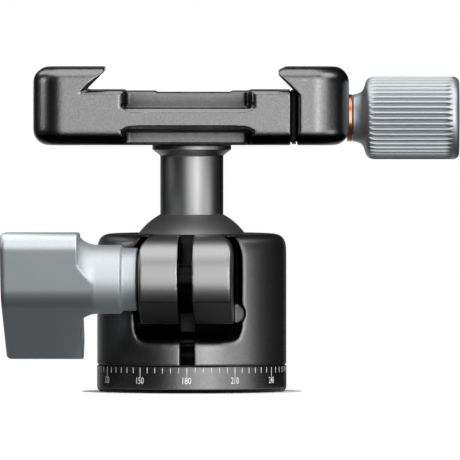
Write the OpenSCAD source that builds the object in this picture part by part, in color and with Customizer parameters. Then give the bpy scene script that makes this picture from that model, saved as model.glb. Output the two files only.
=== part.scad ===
// Small tripod ball head with a pinch lever and a screw-knob plate clamp.
// Millimetres. Origin at the middle of the base's underside, on the tripod
// screw's axis. +Z is up, -Y is the side of the lever and +X the knob's side.

/* [Pan base] */
// Diameter of the base and of the housing above it
body_d = 36; // [35.6:0.1:37]
// Height of the graduated rim
rim_h = 5; // [4.6:0.1:5.6]
// Rounding of the rim's lower edge
rim_edge_r = 0.9; // [0.4:0.1:1.3]
// Chamfer where the rim meets the housing
joint_chamfer = 0.2; // [0.1:0.05:0.3]
// Height of the spigot that the housing turns on, above the rim
spigot_h = 4.3; // [4.1:0.05:4.6]
// Bore of the tripod thread, a 3/8 inch screw
socket_d = 9.52; // [9:0.01:9.6]
// Outside diameter of the threaded bush
bush_d = 12.6; // [12:0.1:13]
// Flange of the bush, diameter
bush_flange_d = 15.6; // [15:0.1:16]
// Flange of the bush, thickness
bush_flange_h = 1.2; // [1:0.05:1.4]
// Middle diameter of the friction ring
ring_d = 29.8; // [29.5:0.1:30.1]
// Width of the friction ring
ring_w = 3; // [2:0.1:3.2]
// Depth of the friction ring's groove
ring_groove = 0.6; // [0.4:0.05:0.8]

/* [Housing] */
// Height of the housing above the pan joint
housing_h = 24.7; // [24.4:0.1:25.2]
// Rounding of the housing's upper edge
housing_edge_r = 2.85; // [2.2:0.05:3]
// Turn of the housing about the pan axis at rest, in degrees
housing_yaw = -2.9; // [-4:0.1:0]
// Height of the housing's top above the ball's centre
ball_depth = 7.43; // [7.2:0.01:7.6]
// Radius of the edge that holds the ball in
mouth_edge_r = 11.3; // [11.2:0.05:11.6]
// Radius of the flared mouth at the top
mouth_top_r = 12.3; // [12.2:0.05:12.5]
// Space on each side of the stem in the drop notch
notch_gap = 0.3; // [0.2:0.05:0.5]
// Distance of the lock bolt from the pan axis
bolt_offset = 18.2; // [18.1:0.05:18.6]
// Radius of the pinch lugs about the bolt
lug_r = 8.45; // [8.2:0.05:8.6]
// Width over both lugs
lug_w = 17.48; // [17:0.02:18]
// Rounding of the lugs' upper corners
lug_corner_r = 1.7; // [1:0.1:2]
// Chamfer round the ends of the lugs
lug_chamfer = 0.45; // [0.3:0.05:0.6]
// Width of the pinch slot
slot_w = 2.75; // [2.4:0.05:3]
// Space beside each lug in the pocket
pocket_side = 0.96; // [0.8:0.02:1.2]
// Height of the pocket's lower edge above the pan joint
pocket_rise = 4.45; // [4.3:0.05:4.7]
// Wall left between the pocket and the ball's bore
pocket_wall = 2.15; // [1.9:0.05:2.3]
// Radius of the pocket's hollowed bottom
pocket_fillet = 2.9; // [2.4:0.1:3]
// Rounding of the pocket's lower corners
pocket_corner_r = 2.6; // [2:0.1:3]
// Direction of the lug's lower flat, degrees below level
lug_flat_angle = 30; // [26:1:34]
// Diameter of the scallop beside the right lug
scallop_d = 4.2; // [3.6:0.1:4.6]

/* [Pan screws] */
// Diameter of the grub screws that hold the housing on the base
pan_screw_d = 3; // [2.5:0.1:3.2]
// Diameter of their dog points
dog_d = 1.7; // [1.5:0.05:1.8]
// Length of their dog points
dog_l = 0.95; // [0.8:0.05:1]
// Height of the screws above the pan joint
pan_screw_rise = 2.05; // [2:0.05:2.15]
// Depth of the screws' heads under the housing's surface
pan_screw_sink = 0.5; // [0.3:0.05:0.8]

/* [Ball and stem] */
// Ball diameter
ball_d = 25.1; // [24.8:0.05:25.4]
// Stem diameter
stem_d = 12; // [11.6:0.1:12.2]
// Collar diameter
collar_d = 15; // [14.4:0.1:15.4]
// Height of the collar's straight side
collar_h = 0.8; // [0.6:0.1:1.2]
// Height of the chamfer under the collar
collar_chamfer_h = 1.15; // [0.8:0.05:1.4]
// Distance from the ball's centre to the clamp
stem_reach = 24.33; // [24:0.01:26]
// Diameter of the boss that centres the clamp
boss_d = 8; // [7.4:0.1:8.4]
// Height of that boss
boss_h = 2; // [1.6:0.1:2.4]

/* [Ball seat] */
// Depth of the seat's rim under the ball's centre
seat_drop = 7.6; // [7.5:0.05:7.7]
// Height of the seat ring
seat_h = 3.4; // [3.2:0.05:3.6]
// Radius of the hole through the seat
seat_hole_r = 6.9; // [6.7:0.1:7.4]
// Inner radius of the disc spring
spring_hole_r = 8.2; // [8:0.1:8.6]
// Thickness of the disc spring
spring_t = 0.6; // [0.5:0.05:0.8]

/* [Lock lever] */
// Hub diameter
hub_d = 13.05; // [12.8:0.05:13.2]
// Neck diameter
neck_d = 11.9; // [11.6:0.1:12]
// Length of the neck
neck_l = 2.79; // [2.6:0.01:3]
// Length of the bevel between neck and hub
hub_bevel = 0.33; // [0.2:0.01:0.5]
// Length of the hub's cylinder
hub_l = 4.8; // [4.4:0.1:5.2]
// Radius of the flare from the hub to the paddle
flare_r = 4.6; // [4.4:0.1:5]
// Length of the paddle, from its outer end to the end of the hub
paddle_l = 18.1; // [17:0.1:20]
// Height of the paddle above the bolt axis
paddle_up = 8.9; // [8.5:0.05:9.1]
// Reach of the paddle's tip below the bolt axis
paddle_down = 15.2; // [14.6:0.1:15.4]
// Rounding along the paddle's top front edge
paddle_top_r = 2.6; // [2:0.1:3.2]
// Angle of the paddle's front face from upright, its top leaning forward
face_tilt = 17; // [14:0.5:20]
// Angle of the face under the paddle from upright
under_tilt = 59; // [57:0.5:60]
// Angle of the face behind the paddle from upright
back_tilt = 31; // [28:0.5:34]
// Radius that the paddle's tip swings on, short of the tripod's plate
tip_reach = 21.3; // [21:0.1:21.5]
// Diameter of the lock stud
stud_d = 6; // [5.6:0.1:6.2]
// Diameter of the screw that holds the lever on
lever_screw_d = 3; // [2.6:0.1:3.2]
// Flange thickness of the lug's bush
lug_bush_flange_h = 0.45; // [0.4:0.05:0.6]
// Wall of the lug's bush
lug_bush_wall = 0.7; // [0.6:0.05:0.8]
// Length of the threaded insert in the far lug
insert_l = 6; // [5.4:0.1:6.3]

/* [Clamp base] */
// Distance from the stem's axis to the fixed end
clamp_left = 30; // [29:0.1:31]
// Distance from the stem's axis to the jaw end
clamp_right = 18.7; // [18.4:0.1:18.9]
// Depth of the clamp along the plate channel
clamp_w = 38; // [37.4:0.1:39]
// Height of the clamp over its jaws
clamp_h = 14.7; // [14.5:0.1:15]
// Depth of the plate channel
channel_depth = 4.4; // [4.3:0.05:4.6]
// Half the distance between the jaws' lips
lip_half = 16.5; // [16.4:0.05:16.6]
// Height of the lips' straight faces
lip_land = 0.75; // [0.6:0.05:0.9]
// Rounding of the end in front view
clamp_end_r = 3; // [2.6:0.1:3.4]
// Rounding of the end in plan
clamp_plan_r = 5.8; // [5:0.1:6.4]
// Rounding of the long upper and lower edges
clamp_edge_r = 2.4; // [1.8:0.1:2.6]
// Depth of the hollows along the sides
hollow_depth = 3.3; // [2.8:0.1:3.5]
// Start of the side hollows, from the stem's axis
hollow_left = 11.55; // [11:0.05:12]
// End of the side hollows, from the stem's axis
hollow_right = 9.54; // [9:0.02:10]
// Height of the rib between the hollows
rib_h = 3.2; // [2.8:0.1:3.6]
// Height of the rib's middle above the underside
rib_rise = 5.3; // [5:0.1:5.5]
// Corner radius of the side hollows
hollow_r = 1.2; // [0.8:0.1:1.5]
// Width of the recess across the channel's floor
floor_recess_w = 14.4; // [13:0.1:15]
// Depth of that recess
floor_recess = 0.45; // [0.3:0.05:0.6]
// Width of the lower step in the channel's floor
floor_step_w = 23.8; // [22:0.1:24.4]
// Depth of that step
floor_step = 0.2; // [0.1:0.05:0.3]
// Diameter of the screw that holds the clamp on the stem
clamp_screw_d = 5; // [4.6:0.1:5.2]
// Length of that screw's shank
clamp_screw_l = 12; // [10:0.5:14]
// Head diameter of that screw
screw_head_d = 8.5; // [8.2:0.1:8.8]
// Head height of that screw
screw_head_h = 2.6; // [2.4:0.1:2.8]
// Thickness of the washer under that screw's head
screw_washer_t = 0.5; // [0.4:0.05:0.6]

/* [Clamp jaw] */
// Space between the clamp base and the jaw's inner face
jaw_space = 1.3; // [1.2:0.05:1.6]
// Thickness of the jaw
jaw_t = 9.8; // [9.6:0.1:10.2]
// Rounding of the jaw in plan
jaw_plan_r = 6.9; // [6:0.1:7.2]
// Half the width of the pad that meets the clamp base
pad_half = 15.2; // [15:0.1:15.4]
// Distance between the guide pins
pin_pitch = 24; // [23.4:0.1:24.4]
// Diameter of the guide pins
pin_d = 4; // [3.6:0.1:4.2]
// Length of the guide pins
pin_l = 21; // [20:0.5:22]
// How deep the pins are set in the jaw
pin_grip = 7; // [6:0.1:7.6]
// Outside diameter of the jaw springs
jaw_spring_d = 6; // [5.8:0.05:6.1]
// Wire diameter of the jaw springs
jaw_spring_wire = 0.7; // [0.6:0.05:0.8]
// Depth of the springs' pockets in the clamp base
spring_pocket = 6; // [5:0.1:7]
// Turns of each jaw spring
jaw_spring_turns = 4; // [3:1:5]

/* [Clamp knob] */
// Height of the knob's axis above the clamp's underside
knob_rise = 5; // [4.9:0.05:5.2]
// Knob diameter over the flutes
knob_d = 15.7; // [15.4:0.1:16]
// Neck diameter of the knob
knob_neck_d = 8.9; // [8.6:0.1:9.2]
// Length of the knob
knob_l = 20.3; // [19:0.1:22]
// Length of the flare from neck to grip
knob_flare_l = 3.3; // [3:0.1:3.8]
// Length of the smooth band at the knob's end
knob_band = 1.2; // [1:0.1:1.6]
// Number of flutes round the knob
flute_count = 45; // [36:1:48]
// Depth of the flutes
flute_depth = 0.4; // [0.3:0.05:0.5]
// Diameter of the copper washer
washer_d = 8.95; // [8.6:0.05:9.2]
// Thickness of the copper washer
washer_t = 1; // [0.8:0.05:1.2]
// Depth of the washer's seat in the jaw
washer_seat = 0.34; // [0.2:0.02:0.5]
// Diameter of the knob's stud
screw_d = 6.35; // [6:0.05:6.35]
// Length of the stud inside the clamp base
screw_reach = 12; // [11:0.1:12.2]
// Length of the stud inside the knob
screw_grip = 16; // [14:0.1:17]
// Diameter of the knob's set screw
set_screw_d = 3.2; // [2.8:0.1:3.4]
// Distance of the set screw from the stud's end
set_screw_back = 10; // [9:0.1:10.6]
// Diameter of the clip behind the jaw
clip_d = 10; // [9.6:0.1:10.2]
// Thickness of that clip
clip_t = 0.8; // [0.6:0.05:0.9]

/* [Fits] */
// Running clearance on the radius, and between turning faces
running_gap = 0.1; // [0.08:0.01:0.12]
// Clearance of the close-fitting studs and pins on the radius
close_gap = 0.05; // [0.04:0.01:0.06]
// Gap between the base and the housing
pan_gap = 0.3; // [0.25:0.01:0.35]

/* [Hidden] */
$fn = 96;
over = 1;
wide = 40;
body_r = body_d / 2;
ball_r = ball_d / 2;
stem_r = stem_d / 2;
bore_r = ball_r + running_gap;
spigot_r = bore_r - running_gap;
housing_bottom = rim_h + pan_gap;
housing_top = housing_bottom + housing_h;
ball_z = housing_top - ball_depth;
bolt_z = housing_top - lug_r;
spigot_top = rim_h + spigot_h;
pan_screw_z = housing_bottom + pan_screw_rise;
groove_r = spigot_r - dog_l - running_gap;
groove_half = dog_d / 2 + running_gap;
ring_low = rim_h - ring_groove;
ring_h = ring_groove + pan_gap - running_gap;
lug_half = lug_w / 2;
pocket_floor_r = bore_r + pocket_wall;
pocket_half = lug_half + pocket_side;
pocket_low = housing_bottom + pocket_rise;
notch_r = stem_r + notch_gap;
seat_top = ball_z - seat_drop;
seat_low = seat_top - seat_h;
seat_r = bore_r - running_gap;
spring_low = spigot_top + running_gap;
spring_top = seat_low - running_gap;
stud_r = stud_d / 2;
lug_bush_r = stud_r + close_gap + lug_bush_wall;
neck_end = lug_half + lug_bush_flange_h + running_gap;
hub_end = neck_end + neck_l;
flare_start = hub_end + hub_l;
paddle_end = flare_start + paddle_l;
clamp_bottom = ball_z + stem_reach;
clamp_top = clamp_bottom + clamp_h;
floor_z = clamp_top - channel_depth;
recess_z = floor_z - floor_recess;
dovetail_root = lip_half + channel_depth - lip_land;
knob_z = clamp_bottom + knob_rise;
screw_seat_z = recess_z - screw_head_h - screw_washer_t - floor_recess;
jaw_inner = clamp_right + jaw_space;
jaw_outer = jaw_inner + jaw_t;
pad_face = clamp_right + running_gap;
washer_face = jaw_outer - washer_seat;
knob_start = washer_face + washer_t + close_gap;
screw_r = screw_d / 2;
clip_face = pad_face + clip_t + 3 * running_gap;
mouth_z = ball_z + sqrt(pow(bore_r, 2) - pow(mouth_edge_r, 2));
scallop_depth = sqrt(pow(pocket_floor_r, 2) - pow(lug_half, 2));
scallop_z = bolt_z - lug_r + scallop_d / 2 - 2 * running_gap;
lever_bore_end = paddle_end - 2 * lever_screw_d;
pin_inner_end = jaw_inner + pin_grip - pin_l;
clip_start = clip_face - running_gap - clip_t;
pan_screw_turns = [20, 90, 160];
arc_step = 5;
flare_keep_share = 0.75;
lever_head_share = 0.8;
knob_flare_shares = [[0, 0.3], [0.12, 0.52], [0.36, 0.7], [1, 1]];

// Places its children in the frame of the base and housing, which stand turned
module yawed() {
  rotate([0, 0, housing_yaw]) children();
}

// Places its children with their Z along the lock bolt, x away from the slot
module on_bolt(x) {
  yawed() translate([x, -bolt_offset, bolt_z]) rotate([0, 90, 0]) children();
}

// Places its children with their Z along the knob's axis
module on_knob_axis(x) {
  translate([x, 0, knob_z]) rotate([0, 90, 0]) children();
}

// Stands a flat outline, drawn in X and Z, up and gives it a depth along Y
module stand_up(depth) {
  rotate([90, 0, 0]) linear_extrude(depth, center = true) children();
}

// Corner to take off an outline whose corner is at the origin, with the solid
// on the low side of both axes
module corner_cut(r) {
  translate([-r, -r]) difference() {
    square(r + over);
    circle(r);
  }
}

// Box outline from its left, low corner, with one radius on each corner:
// low left, low right, high right, high left
module round_box(w, h, radii) {
  difference() {
    square([w, h]);
    if (radii[0] > 0) rotate(180) corner_cut(radii[0]);
    if (radii[1] > 0) translate([w, 0]) rotate(-90) corner_cut(radii[1]);
    if (radii[2] > 0) translate([w, h]) corner_cut(radii[2]);
    if (radii[3] > 0) translate([0, h]) rotate(90) corner_cut(radii[3]);
  }
}

// Points along an arc, from one angle to another
function arc_points(centre, r, first, last) =
  let (steps = ceil(abs(last - first) / arc_step))
    [for (i = [0:steps]) let (a = first + (last - first) * i / steps) centre + r * [cos(a), sin(a)]];

// Screw with a round head, from the underside of its head down
module cap_screw(shank_r, shank_l, head_r, head_h, key_share = 0.5) {
  difference() {
    union() {
      translate([0, 0, -shank_l]) cylinder(r = shank_r, h = shank_l);
      cylinder(r = head_r, h = head_h);
    }
    translate([0, 0, head_h * key_share]) cylinder(r = shank_r, h = wide, $fn = 6);
  }
}

// Ring with a round hole
module ring(outer_r, inner_r, h) {
  difference() {
    cylinder(r = outer_r, h = h);
    translate([0, 0, -over]) cylinder(r = inner_r, h = h + 2 * over);
  }
}

module pan_base() {
  color("#1b1b1d") difference() {
    rotate_extrude() difference() {
      union() {
        round_box(body_r, rim_h, [0, rim_edge_r, 0, 0]);
        square([spigot_r, spigot_top]);
      }
      translate([body_r, rim_h]) rotate(45) square(2 * joint_chamfer, center = true);
      translate([groove_r, pan_screw_z - groove_half]) square([over * 2, 2 * groove_half]);
    }
    translate([0, 0, -over]) cylinder(d = bush_d, h = wide);
    translate([0, 0, spigot_top - bush_flange_h]) cylinder(d = bush_flange_d, h = wide);
    translate([0, 0, ring_low]) ring((ring_d + ring_w) / 2, (ring_d - ring_w) / 2, wide);
  }
}

module tripod_bush() {
  color("#b9bbbd") difference() {
    union() {
      cylinder(d = bush_d, h = spigot_top);
      translate([0, 0, spigot_top - bush_flange_h]) cylinder(d = bush_flange_d, h = bush_flange_h);
    }
    translate([0, 0, -over]) cylinder(d = socket_d, h = wide);
  }
}

module pan_friction_ring() {
  color("#e8e6df") translate([0, 0, ring_low])
    ring((ring_d + ring_w) / 2, (ring_d - ring_w) / 2, ring_h);
}

// Round body of the housing before it is bored
module housing_blank() {
  rotate_extrude() difference() {
    translate([0, housing_bottom]) round_box(body_r, housing_h, [0, 0, housing_edge_r, 0]);
    translate([body_r, housing_bottom]) rotate(45) square(2 * joint_chamfer, center = true);
  }
}

// Space milled round the lugs, with a hollowed floor that leaves an even wall
module lug_pocket() {
  intersection() {
    rotate_extrude() translate([pocket_floor_r, pocket_low])
      round_box(wide, wide, [pocket_fillet, 0, 0, 0]);
    translate([-pocket_half, 0, pocket_low]) rotate([90, 0, 0]) linear_extrude(wide)
      round_box(2 * pocket_half, wide, [pocket_corner_r, pocket_corner_r, 0, 0]);
  }
}

// Both lugs in one piece, round in front and cut flat underneath
module lugs() {
  flat_y = -bolt_offset;
  flat_z = bolt_z - lug_r;
  intersection() {
    difference() {
      union() {
        translate([-lug_half, -bolt_offset, bolt_z]) rotate([0, 90, 0]) rotate_extrude()
          difference() {
            square([lug_r, lug_w]);
            translate([lug_r, 0]) rotate(45) square(2 * lug_chamfer, center = true);
            translate([lug_r, lug_w]) rotate(45) square(2 * lug_chamfer, center = true);
          }
        translate([-lug_half, -bolt_offset, bolt_z - lug_r])
          cube([lug_w, bolt_offset - ball_r, 2 * lug_r]);
      }
      translate([0, flat_y, flat_z]) rotate([-lug_flat_angle, 0, 0])
        translate([-wide / 2, -wide, -wide]) cube(wide);
    }
    translate([-lug_half, 0, 0]) stand_up(2 * wide)
      round_box(lug_w, housing_top, [0, 0, lug_corner_r, lug_corner_r]);
  }
}

// Everything that the ball and the base need inside the housing
module ball_bore() {
  translate([0, 0, housing_bottom - over]) cylinder(r = bore_r, h = ball_z - housing_bottom + over);
  translate([0, 0, ball_z]) sphere(r = bore_r);
  mouth_h = housing_top - mouth_z;
  flare = over * (mouth_top_r - mouth_edge_r) / mouth_h;
  translate([0, 0, mouth_z - over])
    cylinder(r1 = mouth_edge_r - flare, r2 = mouth_top_r + flare, h = mouth_h + 2 * over);
}

module drop_notch() {
  translate([0, 0, ball_z]) rotate([-90, 0, 0]) cylinder(r = notch_r, h = wide);
  translate([-notch_r, 0, ball_z]) cube([2 * notch_r, wide, wide]);
}

module housing() {
  color("#1b1b1d") yawed() difference() {
    union() {
      difference() {
        housing_blank();
        lug_pocket();
        translate([-wide, -bolt_offset, bolt_z]) rotate([0, 90, 0])
          cylinder(r = hub_d / 2 + 4 * running_gap, h = wide - lug_half);
        translate([lug_half, -scallop_depth - running_gap, scallop_z])
          rotate([90, 0, 0]) linear_extrude(wide) difference() {
            circle(d = scallop_d);
            translate([-scallop_d, -scallop_d]) square([scallop_d, 2 * scallop_d]);
          }
      }
      lugs();
    }
    ball_bore();
    drop_notch();
    translate([-slot_w / 2, -wide, 0]) cube([slot_w, wide, wide]);
    translate([-lug_half - over, -bolt_offset, bolt_z]) rotate([0, 90, 0])
      cylinder(r = lug_bush_r, h = lug_half + over);
    translate([0, -bolt_offset, bolt_z]) rotate([0, 90, 0])
      cylinder(r = lug_bush_r, h = slot_w / 2 + insert_l);
    pan_screw_places() translate([0, 0, -over]) cylinder(d = pan_screw_d, h = wide);
  }
}

// The three radial places behind the housing, with Z outwards from its bore
module pan_screw_places() {
  for (turn = pan_screw_turns)
    rotate([0, 0, turn]) translate([bore_r, 0, pan_screw_z]) rotate([0, 90, 0]) children();
}

module pan_screws() {
  point = dog_l + 2 * running_gap;
  length = body_r - bore_r - pan_screw_sink;
  color("#2a2a2c") yawed() pan_screw_places() difference() {
    union() {
      cylinder(d = pan_screw_d, h = length);
      translate([0, 0, -point + 2 * running_gap]) cylinder(d = dog_d, h = point);
    }
    translate([0, 0, length - pan_screw_d / 2]) cylinder(d = pan_screw_d / 2, h = wide, $fn = 6);
  }
}

module ball_seat() {
  color("#d9d4c6") difference() {
    translate([0, 0, seat_low]) ring(seat_r, seat_hole_r, seat_h);
    translate([0, 0, ball_z]) sphere(r = bore_r);
  }
}

module disc_spring() {
  color("#8d9094") rotate_extrude() polygon([
    [seat_r, spring_low],
    [seat_r, spring_low + spring_t],
    [spring_hole_r, spring_top],
    [spring_hole_r, spring_top - spring_t],
  ]);
}

module lug_bush() {
  color("#a9762f") on_bolt(-lug_half) difference() {
    union() {
      translate([0, 0, -lug_bush_flange_h]) cylinder(d = neck_d - 2 * running_gap, h = lug_bush_flange_h);
      cylinder(r = lug_bush_r, h = lug_half - slot_w / 2);
    }
    translate([0, 0, -over]) cylinder(r = stud_r + close_gap, h = wide);
  }
}

module lug_insert() {
  color("#b9bbbd") on_bolt(slot_w / 2) ring(lug_bush_r, stud_r + close_gap, insert_l);
}

// Section of the paddle across the bolt: flat in front and below, where it runs
// off the hub just inside its skin, rounded over the bolt, and slim at the tip
module paddle_section() {
  inner_r = hub_d / 2 - running_gap;
  top_z = paddle_up - paddle_top_r;
  top_y = (inner_r - paddle_top_r + top_z * sin(face_tilt)) / cos(face_tilt);
  tip_y = (paddle_down * sin(under_tilt) - inner_r) / cos(under_tilt);
  polygon(concat(
    arc_points([0, 0], paddle_up, back_tilt, 90),
    arc_points([-top_y, top_z], paddle_top_r, 90, 180 + face_tilt),
    arc_points([0, 0], inner_r, 180 + face_tilt, 180 + under_tilt),
    [[tip_y, -paddle_down]],
    arc_points([0, 0], tip_reach, -asin(paddle_down / tip_reach),
      back_tilt - acos(paddle_up / tip_reach))
  ));
}

// Limit of the turned flare: wide at the paddle, down to the hub
module flare_blank() {
  rotate([0, -90, 0]) rotate_extrude() difference() {
    translate([0, flare_start]) square([wide, paddle_l]);
    difference() {
      translate([hub_d / 2, flare_start]) square([wide, flare_r * flare_keep_share]);
      translate([hub_d / 2 + flare_r, flare_start]) difference() {
        translate([-2 * flare_r, 0]) square([2 * flare_r, flare_r]);
        circle(flare_r);
      }
    }
  }
}

module lock_lever() {
  color("#93979b") yawed() translate([0, -bolt_offset, bolt_z]) difference() {
    union() {
      translate([-hub_end, 0, 0]) rotate([0, 90, 0]) cylinder(d = neck_d, h = neck_l);
      translate([-flare_start - over, 0, 0]) rotate([0, 90, 0])
        cylinder(d = hub_d, h = hub_l + over - hub_bevel);
      translate([-hub_end - hub_bevel, 0, 0]) rotate([0, 90, 0])
        cylinder(d1 = hub_d, d2 = neck_d, h = hub_bevel);
      intersection() {
        translate([-paddle_end, 0, 0]) rotate([90, 0, 90]) linear_extrude(paddle_l) paddle_section();
        flare_blank();
      }
    }
    translate([-lever_bore_end, 0, 0]) rotate([0, 90, 0]) cylinder(r = stud_r, h = wide);
    translate([-paddle_end - over, 0, 0]) rotate([0, 90, 0]) cylinder(d = lever_screw_d, h = wide);
    translate([-paddle_end - over, 0, 0]) rotate([0, 90, 0])
      cylinder(r = lever_screw_d + running_gap, h = lever_screw_d + over);
  }
}

module lock_stud() {
  length = lever_bore_end + slot_w / 2 + insert_l;
  color("#b9bbbd") on_bolt(-lever_bore_end) difference() {
    cylinder(r = stud_r - running_gap / 10, h = length - running_gap);
    translate([0, 0, -over]) cylinder(d = lever_screw_d, h = 2 * lever_screw_d + over);
  }
}

module lever_screw() {
  color("#2a2a2c") on_bolt(-paddle_end + lever_screw_d) rotate([180, 0, 0])
    cap_screw(lever_screw_d / 2, 2 * lever_screw_d, lever_screw_d, lever_head_share * lever_screw_d);
}

module ball() {
  color("#232325") translate([0, 0, ball_z]) sphere(r = ball_r);
}

// Stem with its collar; its foot is hollowed to the ball
module stem() {
  top = stem_reach - running_gap;
  color("#232325") translate([0, 0, ball_z]) difference() {
    union() {
      cylinder(r = stem_r, h = top);
      translate([0, 0, top - collar_h]) cylinder(d = collar_d, h = collar_h);
      translate([0, 0, top - collar_h - collar_chamfer_h])
        cylinder(d1 = stem_d, d2 = collar_d, h = collar_chamfer_h);
      cylinder(d = boss_d, h = top + boss_h);
    }
    sphere(r = bore_r);
    translate([0, 0, screw_seat_z - clamp_screw_l - ball_z - over])
      cylinder(r = clamp_screw_d / 2 + close_gap, h = wide);
  }
}

// Front view of the clamp base: fixed jaw at the left, channel floor, jaw end
module clamp_front() {
  difference() {
    translate([-clamp_left, clamp_bottom])
      round_box(clamp_left + clamp_right, clamp_h, [clamp_end_r, 0, 0, clamp_end_r]);
    polygon([
      [-lip_half, clamp_top + over], [-lip_half, clamp_top - lip_land],
      [-dovetail_root, floor_z], [clamp_right + over, floor_z],
      [clamp_right + over, clamp_top + over],
    ]);
  }
}

module clamp_base() {
  color("#1b1b1d") difference() {
    intersection() {
      stand_up(clamp_w) clamp_front();
      translate([-clamp_left, 0, 0]) rotate([90, 0, 90]) linear_extrude(clamp_left + clamp_right)
        translate([-clamp_w / 2, clamp_bottom])
          round_box(clamp_w, clamp_h, [clamp_edge_r, clamp_edge_r, clamp_edge_r, clamp_edge_r]);
      linear_extrude(clamp_top) translate([-clamp_left, -clamp_w / 2])
        round_box(clamp_left + clamp_right, clamp_w, [clamp_plan_r, 0, 0, clamp_plan_r]);
    }
    for (side = [-1, 1]) side_hollows(side);
    translate([-floor_recess_w / 2, -wide, recess_z]) cube([floor_recess_w, 2 * wide, wide]);
    translate([-floor_step_w / 2, -wide, floor_z - floor_step]) cube([floor_step_w, 2 * wide, wide]);
    translate([0, 0, clamp_bottom - over]) cylinder(r = boss_d / 2 + running_gap, h = boss_h + over + running_gap);
    translate([0, 0, clamp_bottom]) cylinder(r = clamp_screw_d / 2 + running_gap, h = wide);
    translate([0, 0, screw_seat_z]) cylinder(r = screw_head_d / 2 + 2 * running_gap, h = wide);
    on_knob_axis(clamp_right - screw_reach - running_gap) cylinder(r = screw_r + close_gap, h = wide);
    for (side = [-1, 1]) translate([0, side * pin_pitch / 2, 0]) {
      on_knob_axis(pin_inner_end - 2 * running_gap) cylinder(r = pin_d / 2 + close_gap, h = wide);
      on_knob_axis(clamp_right - spring_pocket) cylinder(r = jaw_spring_d / 2 + running_gap, h = wide);
    }
  }
}

// Hollows above and below the rib on one side
module side_hollows(side) {
  face = clamp_w / 2 - hollow_depth;
  rib_low = clamp_bottom + rib_rise - rib_h / 2;
  rib_high = rib_low + rib_h;
  for (part = [[rib_low - wide, [0, 0, hollow_r, hollow_r]], [rib_high, [hollow_r, hollow_r, 0, 0]]])
    translate([-hollow_left, side * (face + wide / 2), part[0]]) stand_up(wide)
      round_box(hollow_left + hollow_right, wide, part[1]);
}

module clamp_screw() {
  color("#b9bbbd") translate([0, 0, screw_seat_z + screw_washer_t])
    cap_screw(clamp_screw_d / 2, clamp_screw_l, screw_head_d / 2, screw_head_h, 0.3);
}

module clamp_screw_washer() {
  color("#8d9094") translate([0, 0, screw_seat_z])
    ring(screw_head_d / 2, clamp_screw_d / 2, screw_washer_t);
}

// Points round a coil of wire, ring by ring
function coil_points(coil_r, wire_r, height, turns, steps, sides) = [
  for (i = [0 : turns * steps], j = [0 : sides - 1])
    let (a = 360 * i / steps, b = 360 * j / sides, out = coil_r + wire_r * cos(b))
    [out * cos(a), out * sin(a), height * i / (turns * steps) + wire_r * sin(b)]
];

function coil_sides(rings, sides) = [
  for (i = [0 : rings - 2], j = [0 : sides - 1], half = [0, 1])
    let (k = (j + 1) % sides, a = i * sides, b = a + sides)
    half == 0 ? [a + j, b + j, b + k] : [a + j, b + k, a + k]
];

module coil(coil_r, wire_r, height, turns, steps = 14, sides = 6) {
  rings = turns * steps + 1;
  last = (rings - 1) * sides;
  polyhedron(
    coil_points(coil_r, wire_r, height, turns, steps, sides),
    concat(
      coil_sides(rings, sides),
      [for (j = [1 : sides - 2]) [0, j, j + 1]],
      [for (j = [1 : sides - 2]) [last, last + j + 1, last + j]]
    )
  );
}

module jaw_springs() {
  wire_r = jaw_spring_wire / 2;
  end_gap = wire_r + running_gap / 2;
  color("#b9bbbd") for (side = [-1, 1]) translate([0, side * pin_pitch / 2, 0])
    on_knob_axis(clamp_right - spring_pocket + end_gap)
      coil(jaw_spring_d / 2 - wire_r - running_gap / 2, wire_r,
        spring_pocket + running_gap - 2 * end_gap, jaw_spring_turns);
}

// Front view of the jaw with its lip
module jaw_front() {
  translate([jaw_inner, clamp_bottom]) round_box(jaw_t, clamp_h, [0, clamp_end_r, clamp_end_r, 0]);
  polygon([
    [jaw_inner + over, clamp_top], [lip_half + lip_land * 2, clamp_top],
    [lip_half, clamp_top - lip_land], [lip_half, clamp_top - 2 * lip_land],
    [jaw_inner, clamp_top - 2 * lip_land - jaw_inner + lip_half],
    [jaw_inner + over, clamp_top - 2 * lip_land - jaw_inner + lip_half],
  ]);
}

module clamp_jaw() {
  reach = jaw_outer - lip_half;
  color("#1b1b1d") difference() {
    union() {
      intersection() {
        stand_up(clamp_w) jaw_front();
        translate([lip_half, 0, 0]) rotate([90, 0, 90]) linear_extrude(reach)
          translate([-clamp_w / 2, clamp_bottom])
            round_box(clamp_w, clamp_h, [clamp_edge_r, clamp_edge_r, clamp_edge_r, clamp_edge_r]);
        linear_extrude(clamp_top) translate([lip_half, -clamp_w / 2])
          round_box(reach, clamp_w, [0, jaw_plan_r, jaw_plan_r, 0]);
      }
      translate([pad_face, -pad_half, knob_z - knob_rise + floor_recess])
        cube([jaw_space - running_gap, 2 * pad_half, 2 * (knob_rise - floor_recess)]);
    }
    on_knob_axis(pad_face - over) cylinder(r = screw_r + running_gap, h = wide);
    on_knob_axis(pad_face - over) cylinder(d = clip_d + 4 * running_gap, h = clip_face + over - pad_face);
    on_knob_axis(washer_face) cylinder(d = washer_d + 2 * running_gap, h = wide);
    for (side = [-1, 1]) translate([0, side * pin_pitch / 2, 0])
      on_knob_axis(pad_face - over) cylinder(d = pin_d, h = jaw_inner + pin_grip - pad_face + over);
  }
}

module guide_pins() {
  color("#b9bbbd") for (side = [-1, 1]) translate([0, side * pin_pitch / 2, 0])
    on_knob_axis(pin_inner_end) cylinder(d = pin_d, h = pin_l);
}

module knob_washer() {
  color("#c26a45") on_knob_axis(washer_face) ring(washer_d / 2, screw_r + running_gap, washer_t);
}

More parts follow.
